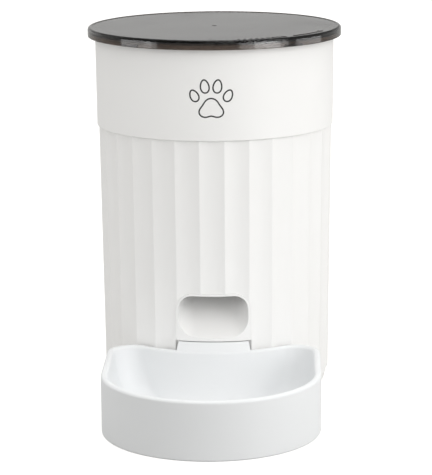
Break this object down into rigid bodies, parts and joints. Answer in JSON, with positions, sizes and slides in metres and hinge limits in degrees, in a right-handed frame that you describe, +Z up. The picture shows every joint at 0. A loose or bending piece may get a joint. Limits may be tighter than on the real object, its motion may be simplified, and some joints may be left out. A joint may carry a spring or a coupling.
{
  "type": "automatic pet feeder",
  "caption": "Round motor-driven dry food feeder: smoked twist lid, lift-out hopper with a vane rotor, fluted housing, front chute and a separate U-shaped bowl.",
  "frame": {"origin": "on the floor, under the middle of the bounding box of the feeder with its bowl", "axes": "+Z up, -Y towards the front (the bowl's side), +X to the right as seen from the front"},
  "size_m": [0.19, 0.3174, 0.272],
  "materials": {
    "white_plastic": "satin moulded plastic, warm white",
    "bowl_plastic": "smooth moulded plastic, slightly cooler white",
    "smoked_plastic": "polished, smoked and see-through",
    "seal_silicone": "soft silicone",
    "vane_rubber": "soft silicone",
    "grey_plastic": "plain moulded plastic",
    "gear_nylon": "natural nylon",
    "steel": "plated steel",
    "brass": "machined brass",
    "black_plastic": "plain",
    "circuit_board": "solder mask",
    "foot_rubber": "soft rubber",
    "clear_plastic": "clear",
    "wire_insulation": "insulated wire"
  },
  "bodies": {
    "base": {"base_plate": "white_plastic", "base_feet": "foot_rubber", "fluted_shell": "white_plastic", "port_panel": "white_plastic", "battery_box": "grey_plastic", "battery_springs": "steel", "battery_contacts": "steel", "discharge_chute": "white_plastic", "food_sensors": "black_plastic", "drive_deck": "grey_plastic", "shaft_bush": "gear_nylon", "deck_screws": "steel", "case_screws": "steel", "gearbox_case": "grey_plastic", "gearbox_cover": "grey_plastic", "gearbox_screws": "steel", "gear_axles": "steel", "motor_can": "steel", "motor_screws": "steel", "motor_leads": "wire_insulation", "main_board": "circuit_board", "board_brackets": "grey_plastic", "board_screws": "steel", "radio_module": "circuit_board", "controller_chip": "black_plastic", "capacitors": "black_plastic", "lead_connector": "black_plastic", "dc_socket": "black_plastic", "dc_pin": "brass", "button_switch": "black_plastic", "status_lens": "clear_plastic", "status_led": "clear_plastic"},
    "tank": {"hopper_tank": "white_plastic", "portion_guard": "grey_plastic"},
    "rotor": {"rotor_hub": "grey_plastic", "rotor_vanes": "vane_rubber", "stirrer": "grey_plastic"},
    "gasket": {"lid_gasket": "seal_silicone"},
    "lid": {"lid": "smoked_plastic"},
    "drive": {"drive_gear": "gear_nylon", "drive_shaft": "steel"},
    "reduction_b": {"reduction_gear_b": "gear_nylon"},
    "reduction_a": {"reduction_gear_a": "gear_nylon"},
    "pinion": {"motor_pinion": "brass", "motor_shaft": "steel"},
    "bowl": {"bowl": "bowl_plastic", "bowl_pads": "foot_rubber"},
    "button": {"feed_button": "white_plastic"},
    "battery_door": {"battery_cover": "white_plastic"}
  },
  "joints": [
    {"name": "tank_lift", "type": "slide", "parent": "base", "child": "tank", "axis": [0, 0, 1], "range_m": [0, 0.11]},
    {"name": "rotor_spin", "type": "hinge", "parent": "tank", "child": "rotor", "pos_m": [0, 0.06375, 0.12], "axis": [0, 0, 1], "continuous": true},
    {"name": "lid_lift", "type": "slide", "parent": "tank", "child": "gasket", "axis": [0, 0, 1], "range_m": [0, 0.08]},
    {"name": "lid_turn", "type": "hinge", "parent": "gasket", "child": "lid", "pos_m": [0, 0.06375, 0.27], "axis": [0, 0, 1], "range_deg": [0, 15]},
    {"name": "drive_spin", "type": "hinge", "parent": "base", "child": "drive", "pos_m": [0, 0.06375, 0.09], "axis": [0, 0, 1], "continuous": true},
    {"name": "reduction_b_spin", "type": "hinge", "parent": "base", "child": "reduction_b", "pos_m": [0, 0.08455, 0.09], "axis": [0, 0, 1], "continuous": true},
    {"name": "reduction_a_spin", "type": "hinge", "parent": "base", "child": "reduction_a", "pos_m": [0.01804, 0.07798, 0.09], "axis": [0, 0, 1], "continuous": true},
    {"name": "pinion_spin", "type": "hinge", "parent": "base", "child": "pinion", "pos_m": [0.03311, 0.08854, 0.09], "axis": [0, 0, 1], "continuous": true},
    {"name": "bowl_slide", "type": "slide", "parent": "base", "child": "bowl", "axis": [0, -1, 0], "range_m": [0, 0.08]},
    {"name": "button_press", "type": "slide", "parent": "base", "child": "button", "axis": [0, -1, 0], "range_m": [0, 0.0009], "stiffness_N_per_m": 300, "springref_m": -0.002},
    {"name": "battery_cover_slide", "type": "slide", "parent": "base", "child": "battery_door", "axis": [0, 1, 0], "range_m": [0, 0.0115]}
  ],
  "couplings": [
    {"joint": "drive_spin", "follows": "rotor_spin", "ratio": 1},
    {"joint": "reduction_b_spin", "follows": "rotor_spin", "ratio": -3.3333},
    {"joint": "reduction_a_spin", "follows": "rotor_spin", "ratio": 10},
    {"joint": "pinion_spin", "follows": "rotor_spin", "ratio": -36}
  ]
}
